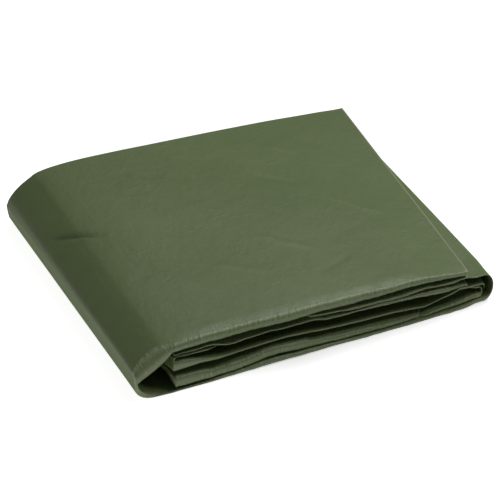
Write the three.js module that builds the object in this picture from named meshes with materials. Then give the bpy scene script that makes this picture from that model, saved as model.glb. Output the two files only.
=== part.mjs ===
import * as THREE from "three";

// A tarp folded lengthwise into a strip of six layers, then folded twice across into four passes.
// Sizes are in millimetres. X runs along the front folds, Y away from the front, Z up.
const DEPTH = 256;
const SHEET = 1;
const LAYERS = 6;

// Where the passes turn and end along X.
const SPINE_X = -118;
const RIGHT_TURN_X = 136;
const INNER_TURN_X = -108;
const COVER_END = { front: 127, back: 149.4 };
const INNER_END = { front: 96, back: 86 };

// How far behind the front the heights of the front folds have settled into the even stack.
const SETTLE = 30;
// Clear height left between two passes where the innermost layer turns round.
const TURN_GAP = 2.4;
const FLOOR_LAYER = SHEET / 2;

// Height of the topmost layer, and of the lower packet's top layer, at the front and at the back.
const TOP_ROWS = [
  { x: -118, front: 44.4, back: 42.9 },
  { x: -90, front: 44.8, back: 43.9 },
  { x: -60, front: 43.6, back: 43.4 },
  { x: -24, front: 42.6, back: 41.2 },
  { x: 17, front: 41.4, back: 38.3 },
  { x: 50, front: 39.4, back: 35.8 },
  { x: 85, front: 37.4, back: 33.2 },
  { x: 111, front: 35.8, back: 30.7 },
  { x: 127, front: 34.0, back: 29.3 },
  { x: 150, front: 31.5, back: 27.0 },
];
const LOWER_TOP_ROWS = [
  { x: -118, front: 20.0, back: 20.0 },
  { x: 0, front: 18.5, back: 18.5 },
  { x: 60, front: 17.5, back: 17.0 },
  { x: 95, front: 18.0, back: 16.5 },
  { x: 115, front: 22.0, back: 17.5 },
  { x: 135, front: 26.0, back: 19.0 },
  { x: 150, front: 26.3, back: 19.3 },
];
const COVER_PITCH_ROWS = [
  { x: -118, pitch: 1.75 },
  { x: 50, pitch: 1.4 },
  { x: 127, pitch: 1.25 },
];

// Front folds of each pass, outermost first. A row gives, at a place along the fold, the height of
// its middle, half the height of its roll, and how far it lies behind the front. A fold without
// heights is hidden, and its layers are spaced evenly between the folds above and below it.
const COVER_FOLDS = [
  [
    { x: -118, mid: 41.3, half: 3.6, back: 0.6 },
    { x: -98, mid: 42.2, half: 3.6, back: 0.2 },
    { x: -72, mid: 40.4, half: 3.0, back: 1.2 },
    { x: -48, mid: 39.2, half: 3.1, back: 0.8 },
    { x: -16, mid: 38.6, half: 4.0, back: 0.3 },
    { x: 17, mid: 38.1, half: 3.5, back: 0.9 },
    { x: 51, mid: 36.7, half: 2.9, back: 0.4 },
    { x: 85, mid: 35.6, half: 2.3, back: 1.2 },
    { x: 111, mid: 34.4, half: 2.0, back: 0.5 },
    { x: 124, mid: 33.2, half: 1.5, back: 1.0 },
  ],
  [
    { x: -118, mid: 35.6, half: 0.7, back: 12 },
    { x: -98, mid: 36.4, half: 0.7, back: 12 },
    { x: -48, mid: 33.9, half: 0.7, back: 12 },
    { x: -16, mid: 32.6, half: 0.65, back: 9 },
    { x: 17, mid: 32.3, half: 0.9, back: 3 },
    { x: 51, mid: 31.0, half: 1.3, back: 2 },
    { x: 85, mid: 30.2, half: 1.7, back: 1.5 },
    { x: 111, mid: 29.4, half: 1.6, back: 1.5 },
    { x: 124, mid: 29.7, half: 0.65, back: 2 },
  ],
  [
    { x: -118, mid: 33.0, half: 0.7, back: 2.5 },
    { x: -98, mid: 33.6, half: 0.7, back: 3 },
    { x: -72, mid: 30.8, half: 0.7, back: 3.5 },
    { x: -48, mid: 31.0, half: 0.7, back: 3 },
    { x: -16, mid: 30.0, half: 0.7, back: 2.5 },
    { x: 17, mid: 29.1, half: 0.9, back: 2.5 },
    { x: 51, mid: 27.0, half: 1.3, back: 2 },
    { x: 85, mid: 24.9, half: 2.0, back: 1.5 },
    { x: 111, mid: 23.6, half: 2.4, back: 1 },
    { x: 124, mid: 26.5, half: 1.2, back: 2 },
  ],
];
const BASE_FOLDS = [
  [
    { x: -118, mid: 1.1, half: 0.6, back: 0.8 },
    { x: -82, mid: 1.1, half: 0.6, back: 0.6 },
    { x: -49, mid: 1.7, half: 1.2, back: 1.0 },
    { x: -16, mid: 2.1, half: 1.6, back: 0.6 },
    { x: 17, mid: 1.7, half: 1.2, back: 1.2 },
    { x: 52, mid: 1.1, half: 0.6, back: 0.6 },
    { x: 136, mid: 1.1, half: 0.6, back: 0.8 },
  ],
  [
    { x: -118, back: 34 },
    { x: 85, back: 34 },
    { x: 136, back: 8 },
  ],
  [
    { x: -118, mid: 2.4, half: 0.3, back: 34 },
    { x: 30, mid: 2.6, half: 0.75, back: 34 },
    { x: 80, mid: 2.7, half: 0.75, back: 11 },
    { x: 94, mid: 3.7, half: 0.75, back: 3 },
    { x: 104, mid: 4.2, half: 1.1, back: 1 },
    { x: 112, mid: 5.4, half: 2.1, back: 0.6 },
    { x: 121, mid: 6.4, half: 2.5, back: 0.8 },
    { x: 136, mid: 8.2, half: 2.8, back: 1 },
  ],
];
const MIDDLE_FOLDS = [
  [
    { x: -108, mid: 28.2, half: 0.2, back: 34 },
    { x: -48, mid: 26.6, half: 0.3, back: 34 },
    { x: 51, mid: 19.5, half: 0.4, back: 34 },
    { x: 88, mid: 16.5, half: 0.6, back: 34 },
    { x: 111, mid: 18.4, half: 0.6, back: 14 },
    { x: 120, mid: 21.6, half: 0.65, back: 7 },
    { x: 130, mid: 24.9, half: 0.7, back: 1.5 },
    { x: 136, mid: 25.5, half: 0.7, back: 0.5 },
  ],
  [
    { x: -108, mid: 24.1, half: 2.8, back: 1 },
    { x: -98, mid: 23.8, half: 2.6, back: 1 },
    { x: -82, mid: 22.6, half: 1.2, back: 2 },
    { x: -58, mid: 23.4, half: 0.7, back: 3 },
    { x: -37, mid: 23.8, half: 0.7, back: 3 },
    { x: -16, mid: 21.6, half: 0.7, back: 3 },
    { x: 5, mid: 18.3, half: 0.7, back: 3 },
    { x: 34, mid: 17.0, half: 0.7, back: 3 },
    { x: 68, mid: 15.2, half: 0.65, back: 3 },
    { x: 94, mid: 12.7, half: 0.65, back: 3 },
    { x: 111, mid: 15.8, half: 0.65, back: 2 },
    { x: 121, mid: 18.1, half: 0.65, back: 1 },
    { x: 136, mid: 18.5, half: 0.7, back: 0.8 },
  ],
  [
    { x: -108, mid: 8.6, half: 5.3, back: 0 },
    { x: -99, mid: 7.9, half: 5.0, back: 0 },
    { x: -82, mid: 7.5, half: 3.8, back: 0.5 },
    { x: -66, mid: 8.1, half: 4.1, back: 0.2 },
    { x: -33, mid: 11.6, half: 4.2, back: 0.6 },
    { x: -16, mid: 9.5, half: 4.4, back: 0.2 },
    { x: 1, mid: 8.5, half: 4.1, back: 0.4 },
    { x: 17, mid: 7.0, half: 2.7, back: 0.2 },
    { x: 52, mid: 5.1, half: 1.8, back: 0.2 },
    { x: 69, mid: 4.8, half: 1.2, back: 0.4 },
    { x: 80, mid: 4.9, half: 0.8, back: 1.5 },
    { x: 92, mid: 6.6, half: 1.0, back: 7 },
    { x: 108, mid: 9.2, half: 1.0, back: 10 },
    { x: 136, mid: 15.3, half: 1.0, back: 3 },
  ],
];
const INNER_FOLDS = [
  [
    { x: -108, back: 36 },
    { x: 96, back: 36 },
  ],
  [
    { x: -108, mid: 30.3, half: 0.8, back: 1.5 },
    { x: -95, mid: 30.2, half: 0.8, back: 5 },
    { x: -80, mid: 29.1, half: 0.7, back: 13 },
    { x: -55, mid: 27.9, half: 0.5, back: 34 },
    { x: 51, mid: 22.5, half: 0.5, back: 34 },
    { x: 96, mid: 19.4, half: 0.5, back: 34 },
  ],
  [
    { x: -108, back: 35 },
    { x: 96, back: 35 },
  ],
];

// How far each layer of a turn reaches out, outer layer of the sheet first, at the front and in the
// even stack.
const SPINE_REACH = [
  { front: 31, inside: 32 },
  { front: 25, inside: 30.3 },
  { front: 23.6, inside: 28.6 },
  { front: 22.2, inside: 26.9 },
  { front: 20.8, inside: 25.2 },
  { front: 19.4, inside: 23.5 },
];
const RIGHT_REACH = [
  { front: 13.5, inside: 13.5 },
  { front: 12.1, inside: 12.1 },
  { front: 9.0, inside: 10.7 },
  { front: 7.7, inside: 9.3 },
  { front: 6.4, inside: 7.9 },
  { front: 4.4, inside: 6.5 },
];
const INNER_REACH = [
  { front: 8.0, inside: 12.0 },
  { front: 9.4, inside: 13.5 },
  { front: 10.8, inside: 15.0 },
  { front: 13.5, inside: 16.5 },
  { front: 15.8, inside: 17.8 },
  { front: 19.2, inside: 19.6 },
];

// The back folds and free edges lie this far inside the back plane, in layer order.
const BACK_INSET = [0, 4, 4, 2, 2, 5];

// Slow unevenness of the pile: its share of the height, and its wavelengths along X and Y.
const WAVE = { share: 0.009, alongX: 34, driftY: 61, alongY: 38, driftX: 83, phase: 0.7 };

// Every layer bends at the same places in Y, so that neighbours keep their distance.
const LAYER_PLACES = [-112, -97.5, 15];
const SHORTEST_STEP = 3;
const FRONT_FOLD_STEPS = 4;
const BACK_FOLD_STEPS = 2;

// The passes from top to bottom, and which way the outer side of the sheet faces in each.
const PASSES = {
  cover: { folds: COVER_FOLDS, slot: 0, outsideUp: true },
  inner: { folds: INNER_FOLDS, slot: 1, outsideUp: false },
  middle: { folds: MIDDLE_FOLDS, slot: 2, outsideUp: true },
  base: { folds: BASE_FOLDS, slot: 3, outsideUp: false },
};

// The turns between passes. round is how far a rounded end reaches for half its height, sag above 1
// lowers the fullest place, and hurry below 1 moves the folds back early in the turn.
const TURNS = {
  spine: {
    from: PASSES.cover,
    to: PASSES.base,
    x: SPINE_X,
    out: -1,
    reach: SPINE_REACH,
    round: 1.55,
    sag: { front: 1.05, back: 1.43 },
    hurry: 0.8,
  },
  right: {
    from: PASSES.base,
    to: PASSES.middle,
    x: RIGHT_TURN_X,
    out: 1,
    reach: RIGHT_REACH,
    round: 1.1,
    sag: { front: 1, back: 1 },
    hurry: 1,
  },
  inner: {
    from: PASSES.middle,
    to: PASSES.inner,
    x: INNER_TURN_X,
    out: -1,
    reach: INNER_REACH,
    round: 1.2,
    sag: { front: 1, back: 1 },
    hurry: 1,
  },
};

// The strip from its covering free end to its hidden one.
const STRIP = [
  { pass: PASSES.cover, start: COVER_END, end: TURNS.spine, steps: 12 },
  { turn: TURNS.spine, steps: 9 },
  { pass: PASSES.base, start: TURNS.spine, end: TURNS.right, steps: 10 },
  { turn: TURNS.right, steps: 8 },
  { pass: PASSES.middle, start: TURNS.right, end: TURNS.inner, steps: 14 },
  { turn: TURNS.inner, steps: 8 },
  { pass: PASSES.inner, start: TURNS.inner, end: INNER_END, steps: 5 },
];

const { lerp, clamp, smoothstep } = THREE.MathUtils;

// Share of the way from the front plane to the back plane.
const awayShare = (y) => clamp(y / DEPTH + 0.5, 0, 1);

// How far the heights have changed from the front folds' to the even stack's.
const settled = (y) => clamp((y + DEPTH / 2) / SETTLE, 0, 1);

// Value of one column at x, joined by a curve that never passes beyond its rows.
function column(rows, x, name) {
  const last = rows.length - 1;
  if (x <= rows[0].x) return rows[0][name];
  if (x >= rows[last].x) return rows[last][name];
  const i = rows.findIndex((row) => row.x > x) - 1;
  const slope = (j) => (rows[j + 1][name] - rows[j][name]) / (rows[j + 1].x - rows[j].x);
  const tangent = (j) => {
    if (j === 0 || j === last) return 0;
    const before = slope(j - 1);
    const after = slope(j);
    return before * after <= 0 ? 0 : (2 * before * after) / (before + after);
  };
  const width = rows[i + 1].x - rows[i].x;
  const u = (x - rows[i].x) / width;
  const rise = rows[i + 1][name] - rows[i][name];
  const start = tangent(i) * width;
  const end = tangent(i + 1) * width;
  const bend = 3 * rise - 2 * start - end;
  return rows[i][name] + u * (start + u * (bend + u * (start + end - 2 * rise)));
}

// Value between a table's front and back columns.
const frontToBack = (rows, x, y) => lerp(column(rows, x, "front"), column(rows, x, "back"), awayShare(y));

// Place of a layer in the whole pile, counted from the top.
function pilePlace(pass, layer) {
  return pass.slot * LAYERS + (pass.outsideUp ? layer : LAYERS - 1 - layer);
}

// Heights of all the pile's layers at the front plane, from the top down.
function frontHeights(x) {
  const heights = new Array(4 * LAYERS).fill(null);
  for (const pass of Object.values(PASSES)) {
    pass.folds.forEach((rows, fold) => {
      if (rows[0].mid === undefined) return;
      const mid = column(rows, x, "mid");
      const half = column(rows, x, "half");
      const outward = pass.outsideUp ? half : -half;
      heights[pilePlace(pass, 2 * fold)] = mid + outward;
      heights[pilePlace(pass, 2 * fold + 1)] = mid - outward;
    });
  }
  heights.forEach((height, place) => {
    if (height !== null) return;
    const below = heights.findIndex((other, j) => j > place && other !== null);
    heights[place] = lerp(heights[place - 1], heights[below], 1 / (below - place + 1));
  });
  return heights;
}

// Height of one layer in the even stack behind the front folds.
function stackHeight(pass, layer, x, y) {
  const top = frontToBack(TOP_ROWS, x, y);
  const lowerTop = frontToBack(LOWER_TOP_ROWS, x, y);
  const coverPitch = column(COVER_PITCH_ROWS, x, "pitch");
  const lowerPitch = (lowerTop - FLOOR_LAYER - TURN_GAP) / (2 * LAYERS - 2);
  if (pass === PASSES.cover) return top - coverPitch * layer;
  if (pass === PASSES.middle) return lowerTop - lowerPitch * layer;
  if (pass === PASSES.base) return FLOOR_LAYER + lowerPitch * layer;
  return lerp(lowerTop + TURN_GAP, top - coverPitch * LAYERS, layer / (LAYERS - 1));
}

// Height of one layer, with the pile's slow unevenness, which is nothing at the floor.
function layerHeight(pass, layer, x, y) {
  const front = frontHeights(x)[pilePlace(pass, layer)];
  const height = lerp(front, stackHeight(pass, layer, x, y), settled(y));
  const swayAlong = Math.sin(x / WAVE.alongX + y / WAVE.driftY + WAVE.phase);
  const swayAcross = Math.cos(y / WAVE.alongY - x / WAVE.driftX);
  const uneven = 1 + WAVE.share * settled(y) * swayAlong * swayAcross;
  return FLOOR_LAYER + (height - FLOOR_LAYER) * uneven;
}

// Shape of one layer in a turn: a straight run, then a rounded end that suits its height.
function turnShape(turn, layer, y) {
  const start = layerHeight(turn.from, layer, turn.x, y);
  const end = layerHeight(turn.to, layer, turn.x, y);
  const reach = lerp(turn.reach[layer].front, turn.reach[layer].inside, settled(y));
  const round = Math.min(reach, (turn.round * Math.abs(start - end)) / 2);
  return { start, end, round, straight: reach - round };
}

function turnPoint(turn, u, layer, y) {
  const { start, end, round, straight } = turnShape(turn, layer, y);
  const angle = Math.PI * u;
  const descent = start > end ? angle : Math.PI - angle;
  const share = Math.pow((1 + Math.cos(descent)) / 2, lerp(turn.sag.front, turn.sag.back, settled(y)));
  return {
    x: turn.x + turn.out * (straight + round * Math.sin(angle)),
    z: lerp(Math.min(start, end), Math.max(start, end), share),
  };
}

// X where a layer of a pass meets its turn, or its free end.
function limitX(limit, layer, y) {
  if (!limit.reach) return lerp(limit.front, limit.back, awayShare(y));
  return limit.x + limit.out * turnShape(limit, layer, y).straight;
}

// Point of one layer at a share u along a section of the strip.
function layerPoint(section, u, layer, y) {
  if (section.turn) return turnPoint(section.turn, u, layer, y);
  const x = lerp(limitX(section.start, layer, y), limitX(section.end, layer, y), u);
  return { x, z: layerHeight(section.pass, layer, x, y) };
}

// How far a front fold lies behind the front at a share u along a section.
function foldBack(section, u, fold) {
  if (section.turn) {
    const { from, to, x, hurry } = section.turn;
    const share = smoothstep(Math.pow(u, hurry), 0, 1);
    return lerp(column(from.folds[fold], x, "back"), column(to.folds[fold], x, "back"), share);
  }
  return column(section.pass.folds[fold], layerPoint(section, u, 2 * fold, -DEPTH / 2).x, "back");
}

// The fold between a layer and the next: where it joins them in Y, its roundness and its side.
function foldPlace(section, u, layer) {
  const inward = layer % 2 === 0 ? 1 : -1;
  const inset = inward > 0 ? foldBack(section, u, layer / 2) : BACK_INSET[layer];
  const crest = -inward * (DEPTH / 2 - SHEET / 2 - inset);
  const near = layerPoint(section, u, layer, crest + inward);
  const far = layerPoint(section, u, layer + 1, crest + inward);
  const round = Math.hypot(near.x - far.x, near.z - far.z) / 2;
  return { inward, round, joint: crest + inward * round };
}

// Points round a fold, between its two layers.
function foldPoints(section, u, layer, fold) {
  const steps = fold.inward > 0 ? FRONT_FOLD_STEPS : BACK_FOLD_STEPS;
  const near = layerPoint(section, u, layer, fold.joint);
  const far = layerPoint(section, u, layer + 1, fold.joint);
  const points = [];
  for (let i = 1; i < steps; i++) {
    const angle = (Math.PI * i) / steps;
    const share = (1 - Math.cos(angle)) / 2;
    const y = fold.joint - fold.inward * fold.round * Math.sin(angle);
    points.push(new THREE.Vector3(lerp(near.x, far.x, share), y, lerp(near.z, far.z, share)));
  }
  return points;
}

// One row of points across the strip, from the outer layer's free edge to the inner layer's.
function rowAcross(section, u) {
  const points = [];
  let start = DEPTH / 2 - BACK_INSET[0];
  for (let layer = 0; layer < LAYERS; layer++) {
    const isLast = layer === LAYERS - 1;
    const fold = isLast ? { joint: DEPTH / 2 - BACK_INSET[layer] } : foldPlace(section, u, layer);
    const front = Math.min(start, fold.joint);
    const between = LAYER_PLACES.map((place, i) => Math.max(place, front + SHORTEST_STEP * (i + 1)));
    if (start > fold.joint) between.reverse();
    for (const y of [start, ...between, fold.joint]) {
      const point = layerPoint(section, u, layer, y);
      points.push(new THREE.Vector3(point.x, y, point.z));
    }
    if (!isLast) points.push(...foldPoints(section, u, layer, fold));
    start = fold.joint;
  }
  return points;
}

// The whole sheet's middle points, row by row along the strip.
function stripRows() {
  const rows = [rowAcross(STRIP[0], 0)];
  for (const section of STRIP) {
    for (let i = 1; i <= section.steps; i++) rows.push(rowAcross(section, i / section.steps));
  }
  return rows;
}

// Direction straight out of the sheet at one point of the grid.
function sheetNormal(rows, i, j) {
  const middle = rows[i][j];
  const pull = (before, after) => {
    const sum = new THREE.Vector3();
    if (after) sum.add(after.clone().sub(middle).normalize());
    if (before) sum.add(middle.clone().sub(before).normalize());
    return sum;
  };
  const along = pull(rows[i - 1]?.[j], rows[i + 1]?.[j]);
  const across = pull(rows[i][j - 1], rows[i][j + 1]);
  return along.cross(across).normalize();
}

// Whether a cell is split across its other diagonal, so that facing layers are split alike.
function turnsSplit(rows, i, j) {
  const along = rows[i + 1][j].clone().sub(rows[i][j]);
  const across = rows[i][j + 1].y - rows[i][j].y;
  const steep = Math.abs(along.z) > Math.abs(along.x);
  return (steep ? along.z : along.x) * across < 0;
}

// The sheet's two sides as one list of coordinates, the outer side first.
function sidePositions(rows, thickness) {
  const positions = [];
  for (const side of [1, -1]) {
    rows.forEach((row, i) => {
      row.forEach((middle, j) => {
        const point = middle.clone().addScaledVector(sheetNormal(rows, i, j), (side * thickness) / 2);
        positions.push(point.x, point.y, point.z);
      });
    });
  }
  return positions;
}

// Triangles of both sides and of the rim that closes them.
function sheetIndices(rows) {
  const wide = rows[0].length;
  const last = rows.length - 1;
  const sideSize = rows.length * wide;
  const indices = [];
  const at = (i, j) => i * wide + j;
  const quad = (a, b, c, d) => indices.push(a, b, c, a, c, d);
  const rim = (a, b) => quad(a, a + sideSize, b + sideSize, b);
  for (let i = 0; i < last; i++) {
    for (let j = 0; j + 1 < wide; j++) {
      const around = [at(i, j), at(i + 1, j), at(i + 1, j + 1), at(i, j + 1)];
      if (turnsSplit(rows, i, j)) around.push(around.shift());
      quad(...around);
      quad(...around.reverse().map((corner) => corner + sideSize));
    }
    rim(at(i, 0), at(i + 1, 0));
    rim(at(i + 1, wide - 1), at(i, wide - 1));
  }
  for (let j = 0; j + 1 < wide; j++) {
    rim(at(0, j + 1), at(0, j));
    rim(at(last, j), at(last, j + 1));
  }
  return indices;
}

// Closed sheet of even thickness around a grid of middle points.
function sheetGeometry(rows, thickness) {
  const geometry = new THREE.BufferGeometry();
  geometry.setAttribute("position", new THREE.Float32BufferAttribute(sidePositions(rows, thickness), 3));
  geometry.setIndex(sheetIndices(rows));
  geometry.computeVertexNormals();
  return geometry;
}

const tarpMaterial = new THREE.MeshStandardMaterial({ color: 0x4f5a38, roughness: 0.5, metalness: 0 });
const tarp = new THREE.Mesh(sheetGeometry(stripRows(), SHEET), tarpMaterial);
tarp.name = "tarp";

const group = new THREE.Group();
group.add(tarp);

export default group;
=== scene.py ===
import math

import bpy
import numpy as np
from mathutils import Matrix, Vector


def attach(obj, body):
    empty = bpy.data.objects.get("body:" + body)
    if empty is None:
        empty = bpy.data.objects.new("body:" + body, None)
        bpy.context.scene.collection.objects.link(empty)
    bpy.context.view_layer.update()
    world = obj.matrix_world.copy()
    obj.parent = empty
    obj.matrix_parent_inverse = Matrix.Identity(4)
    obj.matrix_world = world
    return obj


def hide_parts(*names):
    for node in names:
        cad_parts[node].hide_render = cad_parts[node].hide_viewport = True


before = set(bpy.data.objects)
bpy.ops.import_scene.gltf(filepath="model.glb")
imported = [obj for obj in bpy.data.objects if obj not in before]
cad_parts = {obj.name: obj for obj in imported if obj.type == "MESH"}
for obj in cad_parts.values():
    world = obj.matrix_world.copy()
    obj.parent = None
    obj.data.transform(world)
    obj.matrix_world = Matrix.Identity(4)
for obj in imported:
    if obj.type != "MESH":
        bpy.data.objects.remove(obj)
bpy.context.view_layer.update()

# Sizes are in millimetres and become metres where meshes, lights and the camera are made.
# X runs along the front folds, Y away from the front, Z up.
MM = 0.001
DEPTH = 256
FRONT = -DEPTH / 2
LAYERS = 6
FLOOR_LAYER = 0.2


def table(columns, *rows):
    """Named columns of a table that is given row by row."""
    return dict(zip(columns.split(), np.array(rows, float).T))


# Where the passes turn and end along X.
SPINE_X = -118
RIGHT_TURN_X = 136
INNER_TURN_X = -116
COVER_END = {"front": 127.3, "back": 151.3}
INNER_END = {"front": 96, "back": 86}

# How far behind the front the heights of the front folds have settled into the even stack, and how
# far behind it the topmost layer's rounded shoulder ends.
SETTLE = 30
SHOULDER = 12
# Clear height left between two passes where the innermost layer turns round.
TURN_GAP = 2.4

# Height of the topmost layer, and of the lower packet's top layer, at the front and at the back.
TOP_ROWS = table(
    "x front back",
    (-130, 41.5, 40.8),
    (-118, 43.9, 43.2),
    (-108, 44.9, 44.1),
    (-94, 45.4, 44.5),
    (-60, 44.3, 43.4),
    (-24, 43.5, 41.2),
    (17, 42.3, 38.3),
    (50, 40.7, 35.8),
    (85, 38.7, 33.2),
    (104, 36.4, 31.4),
    (127, 32.9, 29.3),
    (152, 32.0, 27.0),
)
LOWER_TOP_ROWS = table(
    "x front back",
    (-118, 20.0, 20.0),
    (0, 18.5, 18.5),
    (60, 17.5, 17.0),
    (95, 18.0, 16.5),
    (115, 21.5, 19.5),
    (127, 25.5, 24.5),
    (135, 24.6, 24.0),
    (152, 21.5, 21.5),
)
COVER_PITCH_ROWS = table("x pitch", (-118, 1.75), (50, 1.4), (127, 1.25))

# Front folds of each pass, outermost first. A row gives, at a place along the fold, the height of
# its middle, half the height of its roll, and how far it lies behind the front. A fold without
# heights is hidden, and its layers are spaced evenly between the folds above and below it.
COVER_FOLDS = [
    table(
        "x mid half back",
        (-118, 39.1, 3.8, 0.6),
        (-98, 39.3, 3.8, 0.2),
        (-82, 38.0, 3.7, 0.9),
        (-64, 37.8, 3.6, 1.0),
        (-40, 37.2, 3.9, 0.7),
        (-16, 36.6, 4.3, 0.3),
        (2, 36.7, 3.5, 0.7),
        (26, 35.2, 3.8, 0.6),
        (38, 34.6, 3.0, 0.8),
        (50, 35.1, 3.3, 0.4),
        (62, 34.4, 2.5, 0.8),
        (80, 34.1, 2.7, 1.0),
        (92, 34.1, 2.8, 0.7),
        (104, 33.1, 2.2, 0.5),
        (111, 32.1, 2.0, 0.5),
        (118, 30.8, 1.7, 0.8),
        (124, 29.9, 1.8, 1.0),
    ),
    table(
        "x mid half back",
        (-118, 34.3, 0.4, 12),
        (-98, 34.2, 0.6, 12),
        (-48, 31.2, 0.7, 12),
        (-16, 30.3, 0.65, 11),
        (-4, 29.7, 1.1, 4),
        (8, 29.1, 1.2, 3),
        (20, 28.3, 1.0, 2.5),
        (32, 27.4, 1.2, 2),
        (44, 27.0, 1.3, 2),
        (56, 26.1, 1.3, 2),
        (68, 25.7, 1.2, 1.8),
        (80, 26.7, 1.25, 1.5),
        (92, 27.1, 1.0, 1.5),
        (104, 25.6, 0.95, 1.5),
        (116, 25.0, 1.2, 1.7),
        (122, 25.6, 0.8, 2),
    ),
    table(
        "x mid half back",
        (-118, 32.9, 0.45, 2.5),
        (-106, 32.3, 0.6, 2.8),
        (-100, 31.7, 0.7, 3),
        (-88, 32.0, 0.7, 3),
        (-82, 30.4, 0.7, 3),
        (-76, 28.0, 0.7, 3.3),
        (-70, 27.0, 0.7, 3.5),
        (-64, 27.6, 0.7, 3.3),
        (-52, 28.2, 0.7, 3),
        (-40, 28.7, 0.7, 3),
        (-28, 27.8, 0.7, 2.9),
        (-16, 27.7, 0.7, 2.6),
        (-4, 27.4, 0.7, 2.5),
        (8, 24.8, 0.8, 2.5),
        (20, 24.1, 0.9, 2.4),
        (32, 23.8, 0.9, 2.3),
        (44, 23.5, 1.3, 2.1),
        (56, 23.0, 1.5, 2),
        (68, 22.3, 1.7, 1.8),
        (80, 21.7, 2.0, 1.5),
        (92, 20.9, 2.0, 1.2),
        (98, 20.4, 2.2, 1.2),
        (104, 19.65, 2.4, 1),
        (110, 19.4, 2.3, 1),
        (116, 19.3, 1.3, 1.2),
        (124, 18.9, 0.9, 1.5),
    ),
]
BASE_FOLDS = [
    table(
        "x mid half back",
        (-118, 1.0, 0.8, 0.4),
        (-94, 1.0, 0.8, 0),
        (-80, 1.5, 1.3, -0.2),
        (-64, 1.9, 1.7, -0.4),
        (-40, 2.6, 2.4, -0.6),
        (-16, 2.1, 1.9, -0.8),
        (17, 1.6, 1.4, -1),
        (44, 1.0, 0.8, -1.8),
        (84, 0.8, 0.6, -2.2),
        (110, 0.8, 0.6, -2.4),
        (122, 1.15, 0.95, -2.2),
        (128, 1.5, 1.3, -1.8),
        (136, 1.8, 1.6, -0.5),
    ),
    table("x back", (-118, 34), (85, 34), (122, 12), (136, 7)),
    table(
        "x mid half back",
        (-118, 1.9, 0.05, 34),
        (-80, 2.2, 0.1, 34),
        (30, 2.4, 0.3, 34),
        (76, 2.0, 0.3, 14),
        (85, 1.7, 0.3, 3),
        (88, 2.1, 0.6, 0.5),
        (94, 2.5, 0.8, 0.5),
        (104, 3.25, 1.0, 0.6),
        (112, 3.4, 1.3, 0.6),
        (121, 4.4, 1.9, 0.6),
        (136, 5.7, 2.4, 0.8),
    ),
]
MIDDLE_FOLDS = [
    table(
        "x mid half back",
        (-116, 30.6, 0.15, 34),
        (-108, 29.0, 0.2, 34),
        (-98, 26.4, 0.2, 34),
        (-88, 23.8, 0.3, 34),
        (-70, 22.3, 0.3, 34),
        (-48, 22.0, 0.3, 34),
        (0, 18.6, 0.4, 34),
        (51, 16.5, 0.4, 34),
        (88, 13.0, 0.6, 34),
        (100, 14.2, 0.6, 24),
        (111, 16.4, 0.6, 14),
        (120, 20.0, 0.65, 7),
        (128, 25.6, 0.6, 1.5),
        (136, 24.6, 0.6, 0.5),
    ),
    table(
        "x mid half back",
        (-116, 23.6, 5.8, 1),
        (-108, 23.0, 4.7, 1),
        (-98, 22.0, 2.6, 1.2),
        (-88, 20.4, 1.5, 1.5),
        (-76, 19.0, 0.9, 2.2),
        (-64, 18.9, 0.7, 3),
        (-52, 19.4, 0.7, 3),
        (-34, 19.4, 0.7, 3),
        (-16, 18.4, 0.7, 3),
        (-4, 17.1, 0.7, 3),
        (8, 15.4, 0.7, 3),
        (20, 14.4, 0.7, 3),
        (38, 13.4, 0.7, 3),
        (56, 12.4, 0.7, 3),
        (68, 11.7, 0.7, 3),
        (80, 10.4, 0.7, 3),
        (92, 8.9, 0.65, 3),
        (98, 9.7, 0.65, 3),
        (104, 11.8, 0.65, 2.5),
        (110, 13.5, 0.65, 2),
        (116, 15.1, 0.65, 1.5),
        (122, 17.5, 0.65, 1),
        (128, 17.0, 0.7, 0.9),
        (136, 16.5, 0.7, 0.8),
    ),
    table(
        "x mid half back",
        (-116, 7.9, 5.8, 0),
        (-106, 7.6, 5.6, 0),
        (-94, 6.9, 5.2, 0),
        (-88, 6.3, 4.5, 0.2),
        (-82, 6.6, 4.1, 0.3),
        (-64, 7.5, 4.2, 0.2),
        (-52, 8.6, 4.1, 0.3),
        (-40, 10.0, 4.4, 0.5),
        (-34, 10.1, 4.1, 0.5),
        (-28, 9.6, 3.9, 0.4),
        (-16, 8.5, 4.05, 0.2),
        (-9, 7.6, 4.0, 0.2),
        (-6, 6.9, 3.0, 0.6),
        (8, 6.2, 2.7, 0.4),
        (20, 5.4, 2.4, 0.2),
        (32, 4.8, 2.4, 0.2),
        (44, 4.1, 2.1, 0.2),
        (56, 3.5, 1.6, 0.3),
        (68, 3.1, 1.2, 0.4),
        (80, 2.9, 0.9, 0.6),
        (84, 2.8, 0.8, 1.0),
        (88, 3.2, 0.5, 7),
        (92, 4.1, 0.5, 12),
        (108, 6.4, 0.6, 16),
        (125, 9.6, 0.8, 10),
        (136, 12.5, 1.0, 3),
    ),
]
INNER_FOLDS = [
    table("x back", (-116, 36), (96, 36)),
    table(
        "x mid half back",
        (-116, 31.6, 0.25, 1.5),
        (-106, 30.4, 0.4, 1.8),
        (-94, 29.6, 0.5, 2.2),
        (-88, 28.6, 0.5, 2.5),
        (-80, 27.3, 0.4, 8),
        (-70, 25.0, 0.4, 20),
        (-55, 25.0, 0.4, 34),
        (0, 22.0, 0.4, 34),
        (51, 19.6, 0.5, 34),
        (96, 16.0, 0.5, 34),
    ),
    table("x back", (-116, 35), (96, 35)),
]

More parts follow.
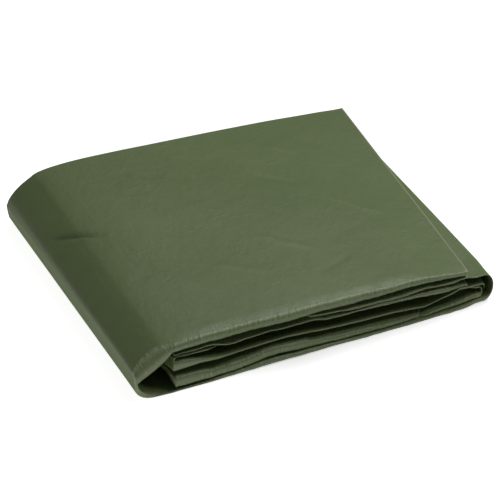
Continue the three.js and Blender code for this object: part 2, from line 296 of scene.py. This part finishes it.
# How far each layer of a turn reaches out, outer layer of the sheet first, at the front and in the
# even stack.
SPINE_REACH = table(
    "front inside",
    (32.2, 32), (29.6, 30.2), (25, 28.5), (23.4, 26.8), (21.8, 25.1), (20.2, 23.4),
)
RIGHT_REACH = table(
    "front inside",
    (14.2, 16.0), (13.5, 15.4), (8.4, 13.4), (7.5, 12.2), (5.8, 11.0), (4.6, 9.8),
)
INNER_REACH = table(
    "front inside",
    (1.2, 4), (1.7, 5.5), (2.2, 7), (2.8, 8.5), (7.6, 9.8), (9.6, 11.2),
)

# The spine's profile from its top to its base: shares of its height and of its reach, near the
# front and at the back. A sloping face meets a steep one that turns under.
SPINE_PROFILE = table(
    "u up_front out_front up_back out_back",
    (0, 1, 0, 1, 0),
    (0.10, 0.97, 0.235, 0.97, 0.18),
    (0.20, 0.895, 0.475, 0.90, 0.36),
    (0.30, 0.79, 0.695, 0.785, 0.61),
    (0.38, 0.695, 0.865, 0.67, 0.79),
    (0.45, 0.61, 0.98, 0.54, 0.93),
    (0.48, 0.575, 1, 0.48, 0.965),
    (0.52, 0.54, 0.99, 0.41, 1),
    (0.56, 0.47, 0.98, 0.35, 0.99),
    (0.68, 0.29, 0.955, 0.21, 0.965),
    (0.80, 0.11, 0.91, 0.09, 0.91),
    (0.90, 0.03, 0.76, 0.03, 0.74),
    (1, 0, 0, 0, 0),
)

# The pointed pocket that the front folds leave inside the spine.
SPINE_POCKET = table(
    "u up out",
    (0, 1, 0),
    (0.12, 0.80, 0.06),
    (0.24, 0.585, 0.25),
    (0.36, 0.475, 0.60),
    (0.45, 0.435, 0.87),
    (0.52, 0.40, 1),
    (0.58, 0.28, 0.97),
    (0.67, 0.15, 0.78),
    (0.78, 0.06, 0.50),
    (0.90, 0.01, 0.22),
    (1, 0, 0),
)

# The back folds and free edges lie this far inside the back plane, in layer order.
BACK_INSET = [0, 4, 4, 2, 2, 5]

# Slow unevenness of the pile: its share of the height, and its wavelengths along X and Y.
WAVE = dict(share=0.009, along_x=34, drift_y=61, along_y=38, drift_x=83, phase=0.7)

# Small unevenness of the front folds along the strip: wavelengths and sizes of what adds up.
RIPPLES = table(
    "length size phase",
    (3.9, 0.06, 0.4),
    (6.7, 0.07, 2.1),
    (10.3, 0.06, 4.4),
    (17.9, 0.09, 1.0),
    (43.0, 0.15, 3.0),
)

# Creases of the top layer: where each starts and ends, how far it rises, and its half width.
CREASES = table(
    "x0 y0 x1 y1 rise width",
    (-148, 61, -103, 16, -2.0, 2.4),
    (-128, 31, -100, 19, 0.5, 3.0),
    (-60, 96, -48, 70, 0.5, 2.6),
    (-10, -12, 40, -64, 0.5, 3.2),
    (-52, -40, -10, -76, 0.45, 3.2),
    (30, 60, 66, 30, -0.5, 2.8),
    (62, 96, 84, 74, 0.5, 2.6),
    (76, 10, 108, -36, 0.45, 3.0),
    (-96, -20, -70, -70, 0.5, 4.0),
    (-20, 118, -8, 60, 0.45, 3.0),
    (12, -90, 60, -70, -0.4, 3.0),
    (95, 100, 118, 60, -0.4, 3.0),
)

# A crease bows aside by this share of its length, and fades in and out over this share of it.
CREASE_BOW = 0.06
CREASE_FADE = 0.35
# Creases fade out down this share of the spine.
CREASED_SPINE = 0.9

# The passes from top to bottom, and which way the outer side of the sheet faces in each.
# A bow of 1 makes the folds half circles, and the lower it is, the flatter their faces are.
COVER = dict(folds=COVER_FOLDS, slot=0, outside_up=True, bow=1)
INNER = dict(folds=INNER_FOLDS, slot=1, outside_up=False, bow=0.55)
MIDDLE = dict(folds=MIDDLE_FOLDS, slot=2, outside_up=True, bow=0.62)
BASE = dict(folds=BASE_FOLDS, slot=3, outside_up=False, bow=0.7)
PASSES = [COVER, INNER, MIDDLE, BASE]

# The turns between passes. In each pair the first is for the front and the second for the even
# stack: round is how far a rounded end reaches for half its height, and in a turn without a profile
# sag above 1 lowers the fullest place and point above 1 makes it more pointed. hurry below 1 moves
# the folds back early.
SPINE = dict(
    start=COVER, end=BASE, x=SPINE_X, out=-1, reach=SPINE_REACH,
    round=(1.6, 1.6), hurry=0.15, profile=SPINE_PROFILE, pocket=SPINE_POCKET,
)
RIGHT = dict(
    start=BASE, end=MIDDLE, x=RIGHT_TURN_X, out=1, reach=RIGHT_REACH,
    round=(0.8, 1.2), sag=(1, 0.7), point=(0.8, 1), hurry=1,
)
FOLDED_IN = dict(
    start=MIDDLE, end=INNER, x=INNER_TURN_X, out=-1, reach=INNER_REACH,
    round=(0.5, 1.2), sag=(2, 1), point=(0.8, 1), hurry=0.3,
)

# The strip from its covering free end to its hidden one, with how finely each section is built.
STRIP = [
    dict(layers=COVER, start=COVER_END, end=SPINE, steps=196),
    dict(turn=SPINE, steps=72),
    dict(layers=BASE, start=SPINE, end=RIGHT, steps=44),
    dict(turn=RIGHT, steps=32),
    dict(layers=MIDDLE, start=RIGHT, end=FOLDED_IN, steps=110),
    dict(turn=FOLDED_IN, steps=16),
    dict(layers=INNER, start=FOLDED_IN, end=INNER_END, steps=24),
]
# Points across each layer, round each front fold and round each back fold.
LAYER_POINTS = [112, 9, 9, 9, 9, 12]
FRONT_FOLD_STEPS = [12, 10, 10]
BACK_FOLD_STEPS = 4
# Points crowd towards the front, where the folds are.
CROWDING = 1.4
# The wear with its painted glints and the puckers of the crests fade away over about this distance
# behind the front.
CREST_WIDTH = 5.5
# The spine's rim carries a painted highlight over about this many points on each side of it, and the
# highlight grows to its full strength this far out from the spine's start.
RIM_WIDTH = 1.6
RIM_FADE = 8
# Painted shade darkens the creases between these depths, on what lies above this height.
GROOVE_SHADE_DEPTHS = {"from": 0.8, "to": 1.9, "above": 22}


def lerp(start, end, share):
    return start + (end - start) * share


def smoothstep(share):
    share = np.clip(share, 0, 1)
    return share * share * (3 - 2 * share)


def away_share(y):
    """Share of the way from the front plane to the back plane."""
    return np.clip(y / DEPTH + 0.5, 0, 1)


def settled(y):
    """How far the heights have changed from the front folds' to the even stack's."""
    return smoothstep((y - FRONT) / SETTLE)


def column(rows, name, x):
    """Value of one column at places x in the first, joined by a curve that stays within its rows."""
    places, values = next(iter(rows.values())), rows[name]
    x = np.clip(x, places[0], places[-1])
    i = np.clip(np.searchsorted(places, x, side="right") - 1, 0, len(places) - 2)
    width = np.diff(places)
    slope = np.diff(values) / width
    product = slope[:-1] * slope[1:]
    total = np.where(product > 0, slope[:-1] + slope[1:], 1)
    tangent = np.zeros(len(places))
    tangent[1:-1] = np.where(product > 0, 2 * product / total, 0)
    u = (x - places[i]) / width[i]
    rise = values[i + 1] - values[i]
    start = tangent[i] * width[i]
    end = tangent[i + 1] * width[i]
    bend = 3 * rise - 2 * start - end
    return values[i] + u * (start + u * (bend + u * (start + end - 2 * rise)))


def front_to_back(rows, x, y):
    return lerp(column(rows, "front", x), column(rows, "back", x), away_share(y))


def pile_place(layers, layer):
    """Place of a layer in the whole pile, counted from the top."""
    return layers["slot"] * LAYERS + (layer if layers["outside_up"] else LAYERS - 1 - layer)


def front_heights(x):
    """Heights of all the pile's layers at the front plane, from the top down."""
    heights = [None] * (len(PASSES) * LAYERS)
    for layers in PASSES:
        for fold, rows in enumerate(layers["folds"]):
            if "mid" not in rows:
                continue
            mid = column(rows, "mid", x)
            outward = column(rows, "half", x) * (1 if layers["outside_up"] else -1)
            heights[pile_place(layers, 2 * fold)] = mid + outward
            heights[pile_place(layers, 2 * fold + 1)] = mid - outward
    for place, height in enumerate(heights):
        if height is None:
            below = next(j for j in range(place, len(heights)) if heights[j] is not None)
            heights[place] = lerp(heights[place - 1], heights[below], 1 / (below - place + 1))
    return heights


def stack_height(layers, layer, x, y):
    """Height of one layer in the even stack behind the front folds."""
    top = front_to_back(TOP_ROWS, x, y)
    lower_top = front_to_back(LOWER_TOP_ROWS, x, y)
    cover_pitch = column(COVER_PITCH_ROWS, "pitch", x)
    lower_pitch = (lower_top - FLOOR_LAYER - TURN_GAP) / (2 * LAYERS - 2)
    if layers is COVER:
        return top - cover_pitch * layer
    if layers is MIDDLE:
        return lower_top - lower_pitch * layer
    if layers is BASE:
        return FLOOR_LAYER + lower_pitch * layer
    return lerp(lower_top + TURN_GAP, top - cover_pitch * LAYERS, layer / (LAYERS - 1))


def crease_rise(x, y):
    """How far the creases lift or lower the top layer."""
    rise = 0
    for x0, y0, x1, y1, height, width in zip(*CREASES.values()):
        length = math.hypot(x1 - x0, y1 - y0)
        along = ((x - x0) * (x1 - x0) + (y - y0) * (y1 - y0)) / length
        aside = ((x - x0) * (y1 - y0) - (y - y0) * (x1 - x0)) / length
        aside = aside - CREASE_BOW * length * np.sin(math.pi * np.clip(along / length, 0, 1))
        fade = CREASE_FADE * length
        ends = smoothstep(along / fade) * smoothstep((length - along) / fade)
        rise = rise + height * ends * np.exp(-((aside / width) ** 2))
    return rise


def ripple(x, fold):
    """Small unevenness at x of the crest of one fold."""
    total = 0
    for length, size, phase in zip(*RIPPLES.values()):
        total = total + size * np.sin(2 * math.pi * x / length + phase * (fold + 1))
    return total


def layer_height(layers, layer, x, y):
    """Height of one layer, with the pile's slow unevenness, which is nothing at the floor."""
    front = front_heights(x)[pile_place(layers, layer)]
    if layers is COVER and layer == 0:
        share = 1 - (1 - np.clip((y - FRONT) / SHOULDER, 0, 1)) ** 2
    else:
        share = settled(y)
    height = lerp(front, stack_height(layers, layer, x, y), share)
    sway_along = np.sin(x / WAVE["along_x"] + y / WAVE["drift_y"] + WAVE["phase"])
    sway_across = np.cos(y / WAVE["along_y"] - x / WAVE["drift_x"])
    uneven = 1 + WAVE["share"] * settled(y) * sway_along * sway_across
    return FLOOR_LAYER + (height - FLOOR_LAYER) * uneven


def turn_shape(turn, layer, y):
    """Shape of one layer in a turn: a straight run, then a rounded end that suits its height."""
    start = layer_height(turn["start"], layer, turn["x"], y)
    end = layer_height(turn["end"], layer, turn["x"], y)
    reach = lerp(turn["reach"]["front"][layer], turn["reach"]["inside"][layer], settled(y))
    rounded = np.minimum(reach, lerp(*turn["round"], settled(y)) * np.abs(start - end) / 2)
    return start, end, rounded, reach - rounded


def spine_shares(turn, u, layer, y):
    """Shares of height and reach at u round the spine, where inner layers are a pocket in front."""
    rows, pocket, away = turn["profile"], turn["pocket"], away_share(y)
    follow = 1 if layer == 0 else settled(y)
    up = lerp(column(rows, "up_front", u), column(rows, "up_back", u), away)
    out = lerp(column(rows, "out_front", u), column(rows, "out_back", u), away)
    return lerp(column(pocket, "up", u), up, follow), lerp(column(pocket, "out", u), out, follow)


def turn_point(turn, u, layer, y):
    start, end, rounded, straight = turn_shape(turn, layer, y)
    if "profile" in turn:
        up, out = spine_shares(turn, u, layer, y)
    else:
        angle = math.pi * u
        descent = np.where(start > end, angle, math.pi - angle)
        up = ((1 + np.cos(descent)) / 2) ** lerp(*turn["sag"], settled(y))
        out = np.sin(angle) ** lerp(*turn["point"], settled(y))
    x = turn["x"] + turn["out"] * (straight + rounded * out)
    return x, lerp(np.minimum(start, end), np.maximum(start, end), up)


def limit_x(limit, layer, y):
    """X where a layer of a pass meets its turn, or its free end."""
    if "reach" not in limit:
        return lerp(limit["front"], limit["back"], away_share(y))
    return limit["x"] + limit["out"] * turn_shape(limit, layer, y)[3]


def layer_point(section, u, layer, y):
    """X and height of one layer at shares u along a section of the strip and places y across it."""
    if "turn" in section:
        x, z = turn_point(section["turn"], u, layer, y)
        creased = 1 - smoothstep(u / CREASED_SPINE) if section["turn"] is SPINE else 0
    else:
        x = lerp(limit_x(section["start"], layer, y), limit_x(section["end"], layer, y), u)
        z = layer_height(section["layers"], layer, x, y)
        creased = 1 if section["layers"] is COVER else 0
    if layer == 0:
        z = z + creased * crease_rise(x, y)
    return x, z


def fold_back(section, u, fold):
    """How far a front fold lies behind the front at shares u along a section."""
    if "turn" in section:
        turn = section["turn"]
        before = column(turn["start"]["folds"][fold], "back", turn["x"])
        after = column(turn["end"]["folds"][fold], "back", turn["x"])
        return lerp(before, after, smoothstep(u ** turn["hurry"]))
    x = layer_point(section, u, 2 * fold, FRONT)[0]
    uneven = ripple(x, fold + section["layers"]["slot"])
    return column(section["layers"]["folds"][fold], "back", x) + uneven


def fold_place(section, u, layer):
    """The fold between a layer and the next: where it joins them in Y, its roundness and its side."""
    inward = 1 if layer % 2 == 0 else -1
    inset = fold_back(section, u, layer // 2) if inward > 0 else BACK_INSET[layer]
    crest = -inward * (DEPTH / 2 - FLOOR_LAYER - inset)
    near_x, near_z = layer_point(section, u, layer, crest + inward)
    far_x, far_z = layer_point(section, u, layer + 1, crest + inward)
    rounded = np.hypot(near_x - far_x, near_z - far_z) / 2
    return inward, rounded, crest + inward * rounded


def fold_bow(section, u):
    if "turn" in section:
        return lerp(section["turn"]["start"]["bow"], section["turn"]["end"]["bow"], u)
    return section["layers"]["bow"]


def fold_points(section, u, layer, fold):
    """Points round a fold, between its two layers."""
    inward, rounded, joint = fold
    steps = FRONT_FOLD_STEPS[layer // 2] if inward > 0 else BACK_FOLD_STEPS
    near_x, near_z = layer_point(section, u, layer, joint)
    far_x, far_z = layer_point(section, u, layer + 1, joint)
    angle = np.linspace(0, math.pi, steps + 1)[None, 1:-1]
    share = (1 - np.cos(angle)) / 2
    y = joint - inward * rounded * np.sin(angle) ** fold_bow(section, u)
    return np.stack([lerp(near_x, far_x, share), y, lerp(near_z, far_z, share)], -1)


def layer_places(start, end, count):
    """Places across one layer, from start to end, crowded towards the front."""
    share = np.linspace(0, 1, count)[None, :]
    from_front = start < end
    front = np.minimum(start, end)
    back = np.maximum(start, end)
    share = np.where(from_front, share, 1 - share) ** CROWDING
    return lerp(front, back, share)


def section_points(section, u):
    """Rows of points across the strip, from the outer layer's free edge to the inner layer's."""
    parts = []
    start = np.full(u.shape, DEPTH / 2 - BACK_INSET[0])
    for layer in range(LAYERS):
        is_last = layer == LAYERS - 1
        fold = None if is_last else fold_place(section, u, layer)
        joint = np.full(u.shape, DEPTH / 2 - BACK_INSET[layer]) if is_last else fold[2]
        y = layer_places(start, joint, LAYER_POINTS[layer])
        x, z = layer_point(section, u, layer, y)
        parts.append(np.stack([x, y, z], -1))
        if not is_last:
            parts.append(fold_points(section, u, layer, fold))
        start = joint
    return np.concatenate(parts, 1)


def strip_points():
    """The whole sheet's points, row by row along the strip."""
    rows = [section_points(STRIP[0], np.zeros((1, 1)))]
    for section in STRIP:
        u = np.linspace(0, 1, section["steps"] + 1)[1:, None]
        rows.append(section_points(section, u))
    return np.concatenate(rows, 0)


def flat_places(points):
    """Place of every point on the flat sheet, along and across it, in millimetres."""
    along = np.linalg.norm(np.diff(points, axis=0), axis=2)
    across = np.linalg.norm(np.diff(points, axis=1), axis=2)
    down = np.concatenate([[0], np.cumsum(np.median(along, axis=1))])
    over = np.concatenate([[0], np.cumsum(np.median(across, axis=0))])
    return np.stack(np.meshgrid(down, over, indexing="ij"), -1)


def crest_share(points):
    """How near the points are to the front, where the folds are puckered and worn, with painted
    glints.
    """
    return np.exp(-(((points[..., 1] - FRONT) / CREST_WIDTH) ** 2))


def groove_shade(points):
    """How deep the creases lie in the outer layer's top, as a share of painted shade that darkens
    their colour.
    """
    depth = -crease_rise(points[..., 0], points[..., 1])
    shade = np.clip((depth - GROOVE_SHADE_DEPTHS["from"]) / (GROOVE_SHADE_DEPTHS["to"] - GROOVE_SHADE_DEPTHS["from"]), 0, 1)
    shade[:, LAYER_POINTS[0]:] = 0
    return shade * (points[..., 2] > GROOVE_SHADE_DEPTHS["above"])


def rim_wear(points):
    """How strongly a painted highlight lightens the outer layer where it meets its front fold, round
    the spine.
    """
    from_fold = np.arange(points.shape[1]) - LAYER_POINTS[0]
    return np.exp(-((from_fold / RIM_WIDTH) ** 2)) * smoothstep((SPINE_X - points[..., 0]) / RIM_FADE)


# What the material reads at each point, as shares from 0 to 1.
SHARES = {"crest": crest_share, "rim": rim_wear, "painted_groove_shade": groove_shade}


def grid_mesh(name, points, flat):
    """Mesh of a grid of points, with the flat sheet's places as its UV map."""
    rows, columns = points.shape[:2]
    index = np.arange(rows * columns).reshape(rows, columns)
    corners = [index[:-1, :-1], index[1:, :-1], index[1:, 1:], index[:-1, 1:]]
    corners = np.stack(corners, -1).reshape(-1, 4)
    mesh = bpy.data.meshes.new(name)
    mesh.from_pydata((points.reshape(-1, 3) * MM).tolist(), [], corners.tolist())
    mesh.polygons.foreach_set("use_smooth", np.ones(len(corners), bool))
    uv = mesh.uv_layers.new(name="flat")
    uv.data.foreach_set("uv", (flat.reshape(-1, 2)[corners.ravel()] * MM).ravel())
    for attribute, shares in SHARES.items():
        made = mesh.attributes.new(attribute, "FLOAT", "POINT")
        made.data.foreach_set("value", shares(points).ravel())
    return mesh


def add_object(name, data):
    made = bpy.data.objects.new(name, data)
    bpy.context.scene.collection.objects.link(made)
    return made


def add_node(tree, kind, inputs, **settings):
    """Node with its settings, whose named or numbered inputs are linked to sockets or set."""
    made = tree.nodes.new(kind)
    for name, value in settings.items():
        setattr(made, name, value)
    for name, value in inputs.items():
        if isinstance(value, bpy.types.NodeSocket):
            tree.links.new(value, made.inputs[name])
        else:
            made.inputs[name].default_value = value
    return made


def noise(tree, place, scale, detail=2, roughness=0.5):
    """Noise of about 0 to 1, with its features per metre along and across the sheet."""
    scaled = add_node(tree, "ShaderNodeVectorMath", {0: place, 1: scale}, operation="MULTIPLY")
    inputs = {"Vector": scaled.outputs[0], "Scale": 1, "Detail": detail, "Roughness": roughness}
    return add_node(tree, "ShaderNodeTexNoise", inputs).outputs[0]


def math_node(tree, operation, first, second):
    return add_node(tree, "ShaderNodeMath", {0: first, 1: second}, operation=operation).outputs[0]


def clamped(tree, value, low, high):
    """Value as a share of the way from low to high."""
    inputs = {"Value": value, "From Min": low, "From Max": high}
    return add_node(tree, "ShaderNodeMapRange", inputs).outputs[0]


def blend_colours(tree, share, first, second):
    """Mix of two colours, which are tuples or sockets."""
    made = tree.nodes.new("ShaderNodeMix")
    made.data_type = "RGBA"
    factor = next(i for i in made.inputs if i.name == "Factor" and i.type == "VALUE")
    sides = [i for i in made.inputs if i.type == "RGBA"]
    tree.links.new(share, factor)
    for side, value in zip(sides, (first, second)):
        if isinstance(value, bpy.types.NodeSocket):
            tree.links.new(value, side)
        else:
            side.default_value = (*value, 1)
    return next(o for o in made.outputs if o.type == "RGBA")


def weave_height(tree, place):
    """Threads of the cloth under its coating, from 0 to 1."""
    bands = []
    for direction in ("X", "Y"):
        inputs = {"Vector": place, "Scale": THREAD_SCALE, "Distortion": 0.4, "Detail": 1}
        wave = add_node(tree, "ShaderNodeTexWave", inputs, bands_direction=direction)
        bands.append(wave.outputs["Fac"])
    return math_node(tree, "MAXIMUM", *bands)


def product(tree, first, *others):
    """Product of sockets and numbers."""
    result = first
    for other in others:
        result = math_node(tree, "MULTIPLY", result, other)
    return result


def mesh_share(tree, name):
    """One of the shares that the mesh gives at each point."""
    return add_node(tree, "ShaderNodeAttribute", {}, attribute_name=name).outputs["Fac"]


# Threads are 1.4 mm apart, and a wave texture's bands repeat at pi / 10 of its scale.
THREAD_SCALE = math.pi / 10 / 0.0014
# Linear colours of the coating, of its faded patches, of worn crests with painted glints and of the
# painted highlights on the spine's rim and the free end, and of the painted shade in grooves.
GREEN = (0.077, 0.108, 0.038)
FADED = (0.092, 0.124, 0.049)
WORN_AND_HIGHLIGHT = (0.21, 0.24, 0.15)
GROOVE_SHADE_COLOUR = (0.03, 0.045, 0.014)
# The covering free end is paler over this many metres, a painted highlight.
EDGE_HIGHLIGHT_WIDTH = 0.0014


# Heights in millimetres of the weave, crumples, puckers, wandering creases and slow patches.
RELIEF = dict(weave=0.022, crumple=0.9, crest_crumple=0.5, pucker=1.0, crease=0.2, patch=0.9)
# A wandering crease runs where its noise is within this of its middle.
CREASE_BAND = 0.015
# Noise between each pair of levels counts as a share from 0 to 1.
LEVELS = {"faded": (0.3, 0.7), "speck": (0.56, 0.72), "worn_glint_pucker": (0.4, 0.65), "rim": (0.35, 0.65)}
# How strongly the painted shade darkens the grooves.
GROOVE_SHADE_MIX = 0.75
# Share and roughness of the coating's gloss.
GLOSS = 0.045
GLOSS_ROUGHNESS = 0.5


def tarp_normal(tree, noises, crest):
    """Normals from the weave, the crumples and the puckered crests."""
    wander = math_node(tree, "ABSOLUTE", math_node(tree, "SUBTRACT", noises["wander"], 0.5), 0)
    creases = clamped(tree, wander, CREASE_BAND, 0)
    crumple_depth = math_node(tree, "MULTIPLY_ADD", crest, RELIEF["crest_crumple"])
    crumple_depth.node.inputs[2].default_value = RELIEF["crumple"]
    heights = [
        product(tree, noises["weave"], RELIEF["weave"]),
        product(tree, noises["crumple"], crumple_depth),
        product(tree, noises["pucker"], crest, RELIEF["pucker"]),
        product(tree, creases, noises["patches"], RELIEF["crease"]),
        product(tree, noises["patches"], RELIEF["patch"]),
    ]
    height = heights[0]
    for more in heights[1:]:
        height = math_node(tree, "ADD", height, more)
    inputs = {"Height": height, "Distance": MM, "Strength": 0.8}
    return add_node(tree, "ShaderNodeBump", inputs).outputs[0]


def tarp_colour(tree, place, noises, crest):
    """Uneven green, paler where it is worn with painted glints, with painted highlights on the
    spine's rim and at the free end, and with painted shade in deep creases.
    """
    colour = blend_colours(tree, clamped(tree, noises["patches"], *LEVELS["faded"]), GREEN, FADED)
    specks = noises["specks"]
    # Pale specks on the crests, where the puckers rise: wear and painted glints.
    worn_glints = product(tree, clamped(tree, specks, *LEVELS["speck"]), crest)
    worn_glints = product(tree, worn_glints, clamped(tree, noises["pucker"], *LEVELS["worn_glint_pucker"]))
    colour = blend_colours(tree, worn_glints, colour, WORN_AND_HIGHLIGHT)
    # A painted highlight along the spine's rim.
    rim = product(tree, mesh_share(tree, "rim"), clamped(tree, specks, *LEVELS["rim"]))
    colour = blend_colours(tree, rim, colour, WORN_AND_HIGHLIGHT)
    # Painted shade in the deep creases.
    painted_groove_shade = product(tree, mesh_share(tree, "painted_groove_shade"), GROOVE_SHADE_MIX)
    colour = blend_colours(tree, painted_groove_shade, colour, GROOVE_SHADE_COLOUR)
    # A painted highlight along the covering free end.
    along = add_node(tree, "ShaderNodeSeparateXYZ", {0: place}).outputs[0]
    return blend_colours(tree, clamped(tree, along, EDGE_HIGHLIGHT_WIDTH, 0), colour, WORN_AND_HIGHLIGHT)


def tarp_material():
    """Satin coated cloth with a fine weave, faint crumples, uneven colour, worn crests with painted
    glints, painted highlights and painted shade in deep creases.
    """
    material = bpy.data.materials.new("coated_sheet")
    material.use_nodes = True
    tree = material.node_tree
    place = add_node(tree, "ShaderNodeUVMap", {}, uv_map="flat").outputs[0]
    crest = mesh_share(tree, "crest")
    noises = {
        "weave": weave_height(tree, place),
        "patches": noise(tree, place, (11, 14, 1), detail=4, roughness=0.6),
        "crumple": noise(tree, place, (85, 60, 1), detail=4, roughness=0.62),
        "pucker": noise(tree, place, (420, 75, 1), detail=1),
        "wander": noise(tree, place, (13, 17, 1), detail=3, roughness=0.55),
        "specks": noise(tree, place, (900, 500, 1), detail=2),
    }
    normal = tarp_normal(tree, noises, crest)

    shader = tree.nodes["Principled BSDF"]
    tree.links.new(tarp_colour(tree, place, noises, crest), shader.inputs["Base Color"])
    tree.links.new(normal, shader.inputs["Normal"])
    shader.inputs["Roughness"].default_value = 0.5
    shader.inputs["Specular IOR Level"].default_value = 0
    inputs = {"Color": (1, 1, 1, 1), "Roughness": GLOSS_ROUGHNESS, "Normal": normal}
    gloss = add_node(tree, "ShaderNodeBsdfAnisotropic", inputs)
    inputs = {0: GLOSS, 1: shader.outputs[0], 2: gloss.outputs[0]}
    mixed = add_node(tree, "ShaderNodeMixShader", inputs)
    tree.links.new(mixed.outputs[0], tree.nodes["Material Output"].inputs["Surface"])
    return material


# The floor's glow grows from its least to its most between these places along X, in metres.
GLOW = {"From Min": -0.02, "From Max": -0.16, "To Min": 0.4, "To Max": 0.92}
FLOOR_HALF = 6


def floor_material():
    """Pale paper that glows, and glows more to the left, so that the shadow there stays pale."""
    material = bpy.data.materials.new("floor_paper")
    material.use_nodes = True
    tree = material.node_tree
    shader = tree.nodes["Principled BSDF"]
    shader.inputs["Base Color"].default_value = (0.8, 0.8, 0.8, 1)
    shader.inputs["Roughness"].default_value = 0.8
    shader.inputs["Specular IOR Level"].default_value = 0.1
    shader.inputs["Emission Color"].default_value = (1, 1, 1, 1)
    place = add_node(tree, "ShaderNodeTexCoord", {}).outputs["Object"]
    across = add_node(tree, "ShaderNodeSeparateXYZ", {0: place}).outputs[0]
    glow = add_node(tree, "ShaderNodeMapRange", {"Value": across, **GLOW})
    tree.links.new(glow.outputs[0], shader.inputs["Emission Strength"])
    return material


def build_floor():
    mesh = bpy.data.meshes.new("floor")
    corners = [(x * FLOOR_HALF, y * FLOOR_HALF, 0) for x, y in ((-1, -1), (1, -1), (1, 1), (-1, 1))]
    mesh.from_pydata(corners, [], [(0, 1, 2, 3)])
    mesh.materials.append(floor_material())
    add_object("floor", mesh)


# The camera looks at the middle of the frame from this far, turned and raised by these degrees.
CAMERA = dict(azimuth=-25.65, elevation=35.78, distance=2124, lens=194.4)
# How far the view's middle lies right of and above the object's base centre.
AIM = dict(right=3.6, up=8.5)


def view_axes():
    azimuth = math.radians(CAMERA["azimuth"])
    elevation = math.radians(CAMERA["elevation"])
    back = Vector((
        math.sin(azimuth) * math.cos(elevation),
        -math.cos(azimuth) * math.cos(elevation),
        math.sin(elevation),
    ))
    right = Vector((math.cos(azimuth), math.sin(azimuth), 0))
    return right, back.cross(right), back


def build_camera():
    right, up, back = view_axes()
    data = bpy.data.cameras.new("camera")
    data.lens = CAMERA["lens"]
    data.sensor_width = 36
    data.clip_end = 50
    camera = add_object("camera", data)
    eye = back * CAMERA["distance"] * MM
    aim = (right * AIM["right"] + up * AIM["up"]) * MM
    camera.location = eye
    camera.rotation_euler = (eye - aim).to_track_quat("Z", "Y").to_euler()
    bpy.context.scene.camera = camera


def area_light(name, place, size, watts):
    """Soft light aimed at the object."""
    data = bpy.data.lights.new(name, "AREA")
    data.shape = "RECTANGLE"
    data.size, data.size_y = size
    data.energy = watts
    light = add_object(name, data)
    light.location = place
    light.rotation_euler = Vector(place).to_track_quat("Z", "Y").to_euler()


def build_lights():
    area_light("overhead", place=(0.75, -0.16, 1.3), size=(1.1, 0.8), watts=18.5)
    area_light("sheen", place=(0.56, 0.5, 1.4), size=(0.9, 0.35), watts=5)
    world = bpy.data.worlds.new("studio")
    bpy.context.scene.world = world
    world.use_nodes = True
    background = world.node_tree.nodes["Background"]
    background.inputs["Color"].default_value = (1, 1, 1, 1)
    background.inputs["Strength"].default_value = 0.12
    bpy.context.scene.view_settings.view_transform = "Standard"


build_camera()
build_lights()
build_floor()

points = strip_points()
tarp = add_object("tarp_sheet", grid_mesh("tarp_sheet", points, flat_places(points)))
tarp.data.materials.append(tarp_material())
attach(tarp, "root")
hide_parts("tarp")
